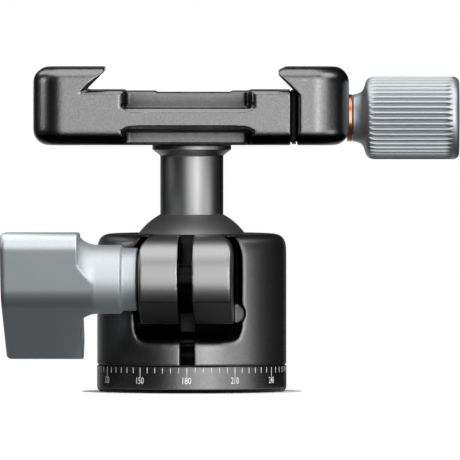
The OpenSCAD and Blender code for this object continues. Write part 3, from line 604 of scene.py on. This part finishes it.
ball = {"radius": 12.55, "z": 22.57, "shadeBelow": 36, "stemR": 6.0, "stemInto": 6.0, "chamfer": 1.15,
        "collarR": 7.5, "collarLow": 45.92, "collarTop": 46.8, "bossR": 4.0, "bossTop": 48.8,
        "screwR": 2.55, "steps": 192}
b = ball
ballMesh = turned(arc(b["radius"], -90, 90, 96, (0, b["z"])), steps=b["steps"])
ballObject = finishPiece("ball", ballMesh, ballAnodised, "ball", ["ball"])
shadeBelowZ = b["z"] + b["radius"] * math.sin(math.radians(b["shadeBelow"]))
# painted shade: the ball below the housing's top is near black
secondFinish(ballObject, ballShadeInside, lambda where: where.z < shadeBelowZ)
stemOutline = roundCorners([(b["screwR"], b["z"] + b["stemInto"]), (b["stemR"], b["z"] + b["stemInto"]),
    (b["stemR"], b["collarLow"] - b["chamfer"], 0.5),
    (b["collarR"], b["collarLow"], 0.25), (b["collarR"], b["collarTop"], 0.2),
    (b["bossR"], b["collarTop"]), (b["bossR"], b["bossTop"], 0.3), (b["screwR"], b["bossTop"])], 5)
finishPiece("stem", turned(stemOutline, steps=b["steps"]), turnedAnodised, "stem", ["stem"])


# the lever is made along the bolt, x to the right, and then set on it; tilts are in degrees
lever = {"neckR": 5.95, "neckEnd": -9.29, "neckEdge": 0.15, "hubStart": -12.08, "hubR": 6.525,
         "bevel": 0.33, "hubInto": 0.6, "flareStart": -16.88, "flareR": 4.6, "flareDepth": 3.45,
         "end": -34.98, "up": 8.9, "down": 15.4, "faceR": 6.45, "topR": 2.6, "faceTilt": 17,
         "underTilt": 59, "backTilt": 31, "tipReach": 21.3, "endEdge": 0.9,
         "studR": 3.0, "studEnd": -28.98, "screwR": 1.5, "headR": 3.1, "headDepth": 3.0}
v = lever
hubEnd, pastLever = v["flareStart"] - v["hubInto"], -36
hubTurned = turned(roundCorners([(0, v["neckEnd"]), (v["neckR"], v["neckEnd"], v["neckEdge"]),
    (v["neckR"], v["hubStart"]), (v["hubR"], v["hubStart"] - v["bevel"]),
    (v["hubR"], hubEnd), (0, hubEnd)], 3), "x")
flareArc = [(v["hubR"] + v["flareR"] * (1 - math.cos(t)), v["flareStart"] - v["flareR"] * math.sin(t))
            for t in [math.asin(v["flareDepth"] / v["flareR"]) * k / 12 for k in range(13)]]
flareSolid = turned([(0, v["flareStart"]), *flareArc, (far, v["flareStart"] - v["flareDepth"]),
    (far, pastLever), (0, pastLever)], "x", steps=200)


def paddleOutline():
    # across the bolt: a leaning face, a steep under face, a back flat and a tip behind the bolt
    lean, under = math.radians(v["faceTilt"]), math.radians(v["underTilt"])
    topZ = v["up"] - v["topR"]
    topY = (v["faceR"] - v["topR"] + topZ * math.sin(lean)) / math.cos(lean)
    tipY = (v["down"] * math.sin(under) - v["faceR"]) / math.cos(under)
    tipLow = -math.degrees(math.asin(v["down"] / v["tipReach"]))
    tipHigh = v["backTilt"] - math.degrees(math.acos(v["up"] / v["tipReach"]))
    return [*arc(v["up"], v["backTilt"], 90, 14), *arc(v["topR"], 90, 180 + v["faceTilt"], 14, (-topY, topZ)),
            *arc(v["faceR"], 180 + v["faceTilt"], 180 + v["underTilt"], 12), (tipY, -v["down"]),
            *arc(v["tipReach"], tipLow, tipHigh, 4)]


paddle = loft([[(v["end"] + x, y, z) for y, z in inset(paddleOutline(), by)]
               for x, by in roundOver(v["endEdge"], 6)]
              + [[(v["flareStart"], y, z) for y, z in paddleOutline()]])
leverCuts = cuts(rod(v["studR"], v["studEnd"], 0, "x"), rod(v["screwR"], pastLever, -28, "x"),
    rod(v["headR"], pastLever - 1, v["end"] + v["headDepth"], "x"))
leverMesh = carved(paddle, [("INTERSECT", flareSolid), ("UNION", hubTurned), *leverCuts],
    voxel=0.17, smoothing=5, keep=0.6)
leverPlace = yaw @ Matrix.Translation(bolt)
leverObject = finishPiece("lockLever", leverMesh, greyAnodised, "lever", ["lock_lever"],
    leverPlace)


def onHub(where):
    # the hub and the flare are turned, which leaves them smoother and paler
    deep = min(v["flareDepth"], max(0, v["flareStart"] - where.x))
    flareRadius = v["hubR"] + v["flareR"] * (1 - math.cos(math.asin(deep / v["flareR"])))
    onFlare = (where.x > v["flareStart"] - v["flareDepth"] + 0.1
               and abs(math.hypot(where.y, where.z) - flareRadius) < 0.15)
    return onFlare or where.x > v["flareStart"] + 0.1


secondFinish(leverObject, hubAnodised, onHub, leverPlace.inverted())


# floorSteps are (from x, to x, how deep) in the plate channel; half is half the clamp's width
clamp = {"left": -30.0, "right": 18.7, "low": 46.9, "top": 61.6, "floor": 57.2, "lipX": -16.5,
         "land": 0.75, "half": 19.0, "planR": 5.9, "edgeTop": 2.8, "edgeLow": 3.0, "mouthChamfer": 0.62,
         "floorSteps": ((-12.7, 11.06, 0.2), (-6.8, 7.64, 0.45)), "stepFlank": 0.6,
         "hollowDepth": 3.3, "hollowLeft": -12.71, "hollowRight": 11.1, "ribLow": 49.85, "ribHigh": 53.85,
         "ribChamfer": 0.75, "chamferRun": 3.2, "upperFillet": 0.9, "lowerFillet": 0.7, "underEdge": 0.7,
         "knobZ": 51.9, "studR": 3.26, "studStart": 6.5, "pinY": 12, "pinR": 2.08, "pinStart": 5.8,
         "springR": 3.12, "springStart": 12.7, "bossR": 4.15, "bossTop": 49.0, "screwR": 2.65,
         "headR": 4.5, "headLow": 53.2, "shadeBand": 1.95, "fade": 0.9}
c = clamp


def channelOutline(grow):
    # the plate channel as the front view shows it, widened evenly into the metal
    lipShare, rootShare = 0.414, 2.414  # what even widening does at corners between 45 degree flanks
    root = c["lipX"] - (c["top"] - c["land"] - c["floor"])
    return [(c["lipX"] - grow, c["top"] + 3), (c["lipX"] - grow, c["top"] - c["land"] + lipShare * grow),
            (root - rootShare * grow, c["floor"] - grow), (22, c["floor"] - grow), (22, c["top"] + 3)]


def channelSolid():
    grow, w = c["mouthChamfer"], c["half"]
    spread = [(-w - 1, grow + 1), (-w, grow), (-w + grow, 0), (w - grow, 0), (w, grow), (w + 1, grow + 1)]
    return loft([[(x, y, z) for x, z in channelOutline(g)] for y, g in spread])


def hollowSolid(side, atRib, atEnd, fillet):
    # rounded over at its mouth, filleted at its ends, and curving up to the rib
    face, floor, depth = c["half"], c["half"] - c["hollowDepth"], c["hollowDepth"]
    left, right, mouth = c["hollowLeft"], c["hollowRight"], c["half"] + 0.01
    outline = roundCorners([(left - 3, face + 3), (left - 3, mouth), (left, mouth, 1.33), (left, floor, 1.1),
        (right, floor, 1.5), (right, mouth, 1.4), (right + 3, mouth), (right + 3, face + 3)], 8)
    way = math.copysign(1, atEnd - atRib)
    rows = [(1 - rise / depth, atRib + way * out) for out, rise in roundOver(fillet, 9)]
    if atEnd < c["low"]:  # the lower one widens again round the block's under edge
        rows += [(1 + out / depth, c["low"] + rise) for out, rise in roundOver(c["underEdge"], 5)]
    sections = [[(x, side * (y if y > face else face - (face - y) * share), z) for x, y in outline]
                for share, z in rows]
    last = [(x, y) for x, y, z in sections[-1]] if atEnd < c["low"] else [(x, side * y) for x, y in outline]
    return loft([*sections, [(x, y, atEnd) for x, y in last]])


def ribChamfer(side, edge, up):
    # a 45 degree cut along the rib that runs out in an arc at each end
    sections = []
    first, last, run = c["hollowLeft"] - 0.6, c["hollowRight"] + 0.6, c["chamferRun"]
    y = side * c["half"]
    for k in range(33):
        x = first + (last - first) * k / 32
        near = min(x - first, last - x)
        share = 1 if near > run else math.sqrt(max(0.0, 1 - (1 - near / run) ** 2))
        size = c["ribChamfer"] * share + 0.001
        sections.append([(x, y + side, edge + up), (x, y + side, edge - up * (size + 1.0)),
            (x, y - side * (size + 1.0), edge + up)])
    return loft(sections)


def pillow(plan, lowR, topR):
    # a block whose lower and upper edges are rounded evenly all round, with ball corners
    rows = [(c["low"] + rise, by) for by, rise in reversed(roundOver(lowR, 10))]
    rows += [(c["top"] - fall, by) for by, fall in roundOver(topR, 10)]
    return loft([[(x, y, z) for x, y in inset(plan, by)] for z, by in rows])


softClamp = pillow(roundCorners([(c["left"], -c["half"], c["planR"]), (26, -c["half"]), (26, c["half"]),
    (c["left"], c["half"], c["planR"])], 20), c["edgeLow"], c["edgeTop"])
rightEnd = prism(square(-60, 40, c["right"], 70), -40, 40, "y")
clampSteps = [("INTERSECT", rightEnd), *cuts(channelSolid())]
for x0, x1, drop in c["floorSteps"]:
    stepZ, flank = c["floor"] - drop, c["stepFlank"]
    clampSteps += cuts(prism([(x0, stepZ), (x1, stepZ), (x1 + flank, 66), (x0 - flank, 66)], -25, 25, "y"))
for s in (-1, 1):
    pinAxis = (0, c["pinY"] * s, c["knobZ"])
    clampSteps += cuts(hollowSolid(s, c["ribHigh"], 70, c["upperFillet"]),
        hollowSolid(s, c["ribLow"], 40, c["lowerFillet"]),
        ribChamfer(s, c["ribHigh"], 1), ribChamfer(s, c["ribLow"], -1),
        rod(c["pinR"], c["pinStart"], 20, "x", pinAxis, 48),
        rod(c["springR"], c["springStart"], 20, "x", pinAxis, 64))
knobAxis = (0, 0, c["knobZ"])
clampSteps += cuts(rod(c["studR"], c["studStart"], 20, "x", knobAxis, 64), rod(c["bossR"], 40, c["bossTop"]),
    rod(c["screwR"], 40, 60), rod(c["headR"], c["headLow"], 70))
clampMesh = carved(softClamp, clampSteps, voxel=0.2, smoothing=3, keep=0.42)
clampObject = finishPiece("clampBase", clampMesh, blackAnodised, "clamp", ["clamp_base"])


def clampReach(where):
    # painted shade: darker towards the under side, but not on the floors of the hollows
    onFloor = (abs(abs(where.y) - c["half"] + c["hollowDepth"]) < 0.3
               and c["hollowLeft"] < where.x < c["hollowRight"])
    return 1 if onFloor else smoothShare((where.z - c["low"] - c["shadeBand"]) / c["fade"] + 0.5)


reachFinish(clampObject, clampReach)


jaw = {"inner": 20.0, "outer": 29.8, "lip": 16.5, "lipEdge": 0.15, "lipLean": 16.33, "planR": 6.9,
       "padFace": 18.72, "padHalf": 15.2, "padLow": 47.7, "padTop": 57.1, "padTilt": 0.4,
       "studR": 3.29, "reliefR": 5.22, "reliefEnd": 19.9, "seatR": 4.6, "seatStart": 29.46}
j = jaw
inner, lip, lowLand = j["inner"], j["lip"], c["top"] - 2 * c["land"]
rootZ = lowLand - (inner - lip)
softJaw = pillow(roundCorners([(6, -c["half"]), (j["outer"], -c["half"], j["planR"]),
    (j["outer"], c["half"], j["planR"]), (6, c["half"])], 24), c["edgeLow"], c["edgeTop"])
innerSide = prism(roundCorners([
    (inner, 40), (60, 40), (60, c["top"] + 8), (lip + j["lipLean"], c["top"] + 8),
    (lip, lowLand + c["land"], j["lipEdge"]), (lip, lowLand, j["lipEdge"]), (inner, rootZ)], 4), -40, 40, "y")
pad = prism([(j["padFace"], j["padLow"] - j["padTilt"]), (inner + 1, j["padLow"] + j["padTilt"]),
             (inner + 1, j["padTop"]), (j["padFace"], j["padTop"])], -j["padHalf"], j["padHalf"], "y")


def jawMouth(side):
    # chamfer along the lip's and the inner face's ends
    grow, share = c["mouthChamfer"], 0.41  # share as the channel's lipShare
    rows = []
    for y, g in ((side * (c["half"] + 1), grow + 1), (side * (c["half"] - grow), 0)):
        rows.append([(10, y, 40), (inner + g, y, 40), (inner + g, y, rootZ - share * g),
            (lip + g, y, lowLand - share * g), (lip + g, y, 70), (10, y, 70)])
    return loft(rows)


jawBores = cuts(rod(j["studR"], 10, 40, "x", knobAxis, 64),
    rod(j["reliefR"], 10, j["reliefEnd"], "x", knobAxis, 64),
    rod(j["seatR"], j["seatStart"], 40, "x", knobAxis, 64))
jawSteps = [("INTERSECT", innerSide), *cuts(jawMouth(-1), jawMouth(1)), ("UNION", pad), *jawBores]
jawMesh = carved(softJaw, jawSteps, voxel=0.17, smoothing=3, keep=0.5)
jawObject = finishPiece("clampJaw", jawMesh, blackAnodised, "jaw", ["clamp_jaw"])
# painted shade: the inner step is near black too
secondFinish(jawObject, innerStepShade, lambda where: where.x < inner - 0.05 and where.z < j["padTop"] + 0.1)
# the jaw's under side gets the same painted shade
reachFinish(jawObject, clampReach)


washer = {"boreR": 3.28, "outerR": 4.475, "start": 29.46, "end": 30.46, "innerEdge": 0.1, "outerEdge": 0.18}
w = washer
washerMesh = turned(roundCorners([
    (w["boreR"], w["start"], w["innerEdge"]), (w["outerR"], w["start"], w["outerEdge"]),
    (w["outerR"], w["end"], w["outerEdge"]), (w["boreR"], w["end"], w["innerEdge"])], 4), "x", knobAxis)
finishPiece("knobWasher", washerMesh, copperTurned, "jaw", ["knob_washer"])

# shoulder is (radius, x, rounding) from the neck out to the grip
knob = {"start": 30.51, "end": 50.81, "radius": 7.85, "neckR": 4.45, "neckEdge": 0.12, "edgeR": 1.15,
        "shoulder": ((4.47, 31.3, 3.0), (5.1, 32.5, 1.5), (7.6, 33.3, 1.4)), "boreR": 3.175, "boreEnd": 46.5,
        "gripStart": 34.65, "gripEnd": 49.6, "gripRows": 40, "flutes": 45, "depth": 0.46, "roundness": 1.3,
        "fluteStart": 33.6, "fluteEnd": 49.5, "runOut": 0.9, "solidR": 5.0, "setX": 36.98, "setR": 1.6,
        "steps": 720}
k = knob


def fluteTree():
    # presses round-bottomed flutes into a turned blank, with a pointed run-out at both ends
    tree = treeWith("knobFlutes", [
        ("Blank", "Geometry", None), ("Flutes", "Int", k["flutes"]), ("Depth", "Float", k["depth"]),
        ("Roundness", "Float", k["roundness"]), ("Start", "Float", k["fluteStart"]),
        ("End", "Float", k["fluteEnd"]), ("Run-out", "Float", k["runOut"]),
        ("Axis height", "Float", c["knobZ"]), ("Least radius", "Float", k["solidR"]),
        ("Metal", "Material", None)])
    given = addNode(tree, "NodeGroupInput")
    place = addNode(tree, "GeometryNodeInputPosition")
    parts = addNode(tree, "ShaderNodeSeparateXYZ", None, {0: (place, 0)})
    rise = addNode(tree, "ShaderNodeMath", {"operation": "SUBTRACT"},
        {0: (parts, "Z"), 1: (given, "Axis height")})
    angle = addNode(tree, "ShaderNodeMath", {"operation": "ARCTAN2"}, {0: (rise, 0), 1: (parts, "Y")})
    wave = addNode(tree, "ShaderNodeMath", {"operation": "MULTIPLY"}, {0: (angle, 0), 1: (given, "Flutes")})
    swing = addNode(tree, "ShaderNodeMath", {"operation": "COSINE"}, {0: (wave, 0)})
    # share is 1 in the middle of a flute and 0 on the crest between two
    share = addNode(tree, "ShaderNodeMath", {"operation": "MULTIPLY_ADD", 1: 0.5, 2: 0.5}, {0: (swing, 0)})
    rounded = addNode(tree, "ShaderNodeMath", {"operation": "POWER"},
        {0: (share, 0), 1: (given, "Roundness")})
    fromStart = addNode(tree, "ShaderNodeMath", {"operation": "SUBTRACT"},
        {0: (parts, "X"), 1: (given, "Start")})
    toEnd = addNode(tree, "ShaderNodeMath", {"operation": "SUBTRACT"}, {0: (given, "End"), 1: (parts, "X")})
    near = addNode(tree, "ShaderNodeMath", {"operation": "MINIMUM"}, {0: (fromStart, 0), 1: (toEnd, 0)})
    ramp = addNode(tree, "ShaderNodeMath", {"operation": "DIVIDE", "use_clamp": True},
        {0: (near, 0), 1: (given, "Run-out")})
    both = addNode(tree, "ShaderNodeMath", {"operation": "ADD"}, {0: (rounded, 0), 1: (ramp, 0)})
    lowered = addNode(tree, "ShaderNodeMath", {"operation": "SUBTRACT", 1: 1.0, "use_clamp": True},
        {0: (both, 0)})
    cut = addNode(tree, "ShaderNodeMath", {"operation": "MULTIPLY"}, {0: (lowered, 0), 1: (given, "Depth")})
    radial = addNode(tree, "ShaderNodeCombineXYZ", None, {"Y": (parts, "Y"), "Z": (rise, 0)})
    length = addNode(tree, "ShaderNodeVectorMath", {"operation": "LENGTH"}, {0: (radial, 0)})
    outside = addNode(tree, "ShaderNodeMath", {"operation": "GREATER_THAN"},
        {0: (length, "Value"), 1: (given, "Least radius")})
    depth = addNode(tree, "ShaderNodeMath", {"operation": "MULTIPLY"}, {0: (cut, 0), 1: (outside, 0)})
    inward = addNode(tree, "ShaderNodeMath", {"operation": "MULTIPLY", 1: -1.0}, {0: (depth, 0)})
    way = addNode(tree, "ShaderNodeVectorMath", {"operation": "NORMALIZE"}, {0: (radial, 0)})
    offset = addNode(tree, "ShaderNodeVectorMath", {"operation": "SCALE"},
        {0: (way, 0), "Scale": (inward, 0)})
    pressed = addNode(tree, "GeometryNodeSetPosition", None, {0: (given, "Blank"), "Offset": (offset, 0)})
    real = addNode(tree, "GeometryNodeRealizeInstances", None, {0: (pressed, 0)})
    coated = addNode(tree, "GeometryNodeSetMaterial", None, {0: (real, 0), "Material": (given, "Metal")})
    addNode(tree, "NodeGroupOutput", None, {0: (coated, 0)})
    return tree


# rows of points along the grip let the flutes press in; its end points only steer the rounding
grip = [(k["radius"], k["gripStart"] + (k["gripEnd"] - k["gripStart"]) * i / k["gripRows"])
        for i in range(k["gripRows"] + 1)]
frontPart = roundCorners([(k["boreR"], k["start"]), (k["neckR"], k["start"], k["neckEdge"]), *k["shoulder"],
    (k["radius"], k["gripStart"] - 0.05)], 8)[:-1]
endPart = roundCorners([(k["radius"], k["gripEnd"] + 0.02), (k["radius"], k["end"], k["edgeR"]),
    (0.0, k["end"]), (0.0, k["boreEnd"]), (k["boreR"], k["boreEnd"])], 8)[1:]
blank = turned(frontPart + grip + endPart, "x", knobAxis, k["steps"])
knobMesh = fromTree(fluteTree(), blank, {"Metal": knobAnodised})
knobMesh = carved(knobMesh, cuts(rod(k["setR"], 2.5, 12, "y", (k["setX"], 0, c["knobZ"]), 48)))
finishPiece("clampKnob", knobMesh, knobAnodised, "knob", ["clamp_knob"])


# the pieces that keep their machined solids get their finish only
kept = [
    (steelMachined, "steel", ["tripod_bush", "clamp_screw", "clamp_screw_washer", "jaw_springs",
        "guide_pins", "clamp_stud"]),
    (steelBlack, "steel", ["disc_spring", "lug_insert", "lock_stud"]),
    (steelBlack, "black_steel", ["pan_screws", "lever_screw", "stud_clip", "knob_set_screw"]),
    (plasticBlack, "plastic", ["pan_friction_ring", "ball_seat"]),
    (bronzeTurned, "bronze", ["lug_bush"])]
for material, slotName, names in kept:
    for name in names:
        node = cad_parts[name]
        node.data.materials.clear()
        node.data.materials.append(material)
print("stage: kept solids dressed")


# floor sizes in mm, all else in metres; lamps are azimuth, elevation, distance, width, height and
# radiance, flags the same without radiance; rise is how far the camera climbs for each metre back
studio = {
    "floorR": 21.0, "floorZ": -0.02, "floorSides": 128, "tentR": 0.9, "middle": (0.005, 0, 0.032),
    "target": (0.00726, 0, 0.0306), "distance": 3.6, "frameWidth": 0.0874, "rise": 0.01641,
    "lamps": {
        "keyWide": (14, 11, 0.6, 0.79, 0.74, 1.85), "keyCore": (18, 6, 0.55, 0.11, 0.5, 3.2),
        "top": (-55, 78, 0.5, 0.6, 0.52, 2.2), "sideLow": (60, -10, 0.24, 0.1, 0.065, 2.5),
        "sideHigh": (68, 50, 0.3, 0.16, 0.12, 3.0), "stripLeft": (-82, 17, 0.2, 0.06, 0.08, 2.8),
        "rimLeft": (-125, 44, 0.3, 0.12, 0.12, 2.2), "bounce": (180, -62, 0.3, 0.26, 0.2, 0.1),
        "backWide": (186, -18, 0.42, 0.42, 0.4, 0.6)},
    "flags": {"flagRight": (130, 0, 0.5, 0.95, 1.0), "flagLeft": (-62, 0, 0.62, 0.44, 1.0)}}

# a small white floor, so that the metal mirrors only a rim of it from below
floorOutline = arc(studio["floorR"] * mm, 0, 360, studio["floorSides"])[:-1]
floorMesh = bpy.data.meshes.new("disc")
floorMesh.from_pydata([(x, y, studio["floorZ"] * mm) for x, y in floorOutline], [],
    [tuple(range(studio["floorSides"]))])
floorMesh.materials.append(plainFinish("whiteAcrylicFloor", "#fafafa", 0.7, specular=0.0))

# a dark tent that the camera doesn't see, for the metal to mirror between the lamps
tentWork = bmesh.new()
bmesh.ops.create_icosphere(tentWork, subdivisions=4, radius=studio["tentR"])
tentMesh = bpy.data.meshes.new("tent")
tentWork.to_mesh(tentMesh)
tentWork.free()
tentMesh.materials.append(plainFinish("darkTentCloth", "#4c4c4c", 1.0, specular=0.0))
tent = linked("tent", tentMesh)
tent.visible_camera = False
linked("floor", floorMesh)

# the world is white to the camera and to mirrored and transmitted rays, and lights nothing
world = bpy.data.worlds.new("studio")
bpy.context.scene.world = world
world.use_nodes = True
sky = world.node_tree
sky.nodes.clear()
rays = addNode(sky, "ShaderNodeLightPath")
mirrored = addNode(sky, "ShaderNodeMath", {"operation": "ADD"},
    {0: (rays, "Is Glossy Ray"), 1: (rays, "Is Transmission Ray")})
seen = addNode(sky, "ShaderNodeMath", {"operation": "ADD", "use_clamp": True},
    {0: (rays, "Is Camera Ray"), 1: (mirrored, 0)})
fill = addNode(sky, "ShaderNodeBackground", {"Color": (1, 1, 1, 1)}, {"Strength": (seen, 0)})
addNode(sky, "ShaderNodeOutputWorld", None, {0: (fill, 0)})


def facing(azimuth, elevation, distance):
    # azimuth from the camera's side towards +X, in degrees; what is placed looks at the object
    a, e = math.radians(azimuth), math.radians(elevation)
    way = Vector((math.sin(a) * math.cos(e), -math.cos(a) * math.cos(e), math.sin(e)))
    place = Matrix.Translation(Vector(studio["middle"]) + way * distance)
    return place @ way.to_track_quat("Z", "Y").to_matrix().to_4x4()


for name, (azimuth, elevation, distance, width, height, radiance) in studio["lamps"].items():
    lamp = bpy.data.lights.new(name, "AREA")
    lamp.shape = "RECTANGLE"
    lamp.size, lamp.size_y = width, height
    lamp.energy = radiance * math.pi * width * height  # radiance 1 is white paper
    lampObject = linked(name, lamp)
    lampObject.matrix_world = facing(azimuth, elevation, distance)
    lampObject.visible_camera = False

# black cloth on frames, which keeps the pale world out of the metal's sides
flagCloth = plainFinish("blackFlagCloth", "#050505", 1.0, specular=0.0)
for name, (azimuth, elevation, distance, width, height) in studio["flags"].items():
    panel = bpy.data.meshes.new("panel")
    corners = square(-width / 2, -height / 2, width / 2, height / 2)
    panel.from_pydata([(x, y, 0) for x, y in corners], [], [(0, 1, 2, 3)])
    panel.transform(facing(azimuth, elevation, distance))
    panel.materials.append(flagCloth)
    flag = linked(name, panel)
    flag.visible_camera = False

camera = bpy.data.cameras.new("camera")
camera.sensor_width = 36.0
camera.lens = camera.sensor_width * studio["distance"] / studio["frameWidth"]
camera.clip_start, camera.clip_end = 0.1, 50
cameraObject = linked("camera", camera)
target = Vector(studio["target"])
cameraObject.location = target + Vector((0, -1, studio["rise"])) * studio["distance"]
cameraObject.rotation_euler = (target - cameraObject.location).to_track_quat("-Z", "Y").to_euler()
bpy.context.scene.camera = cameraObject
bpy.context.scene.view_settings.view_transform = "Standard"
print("stage: studio")
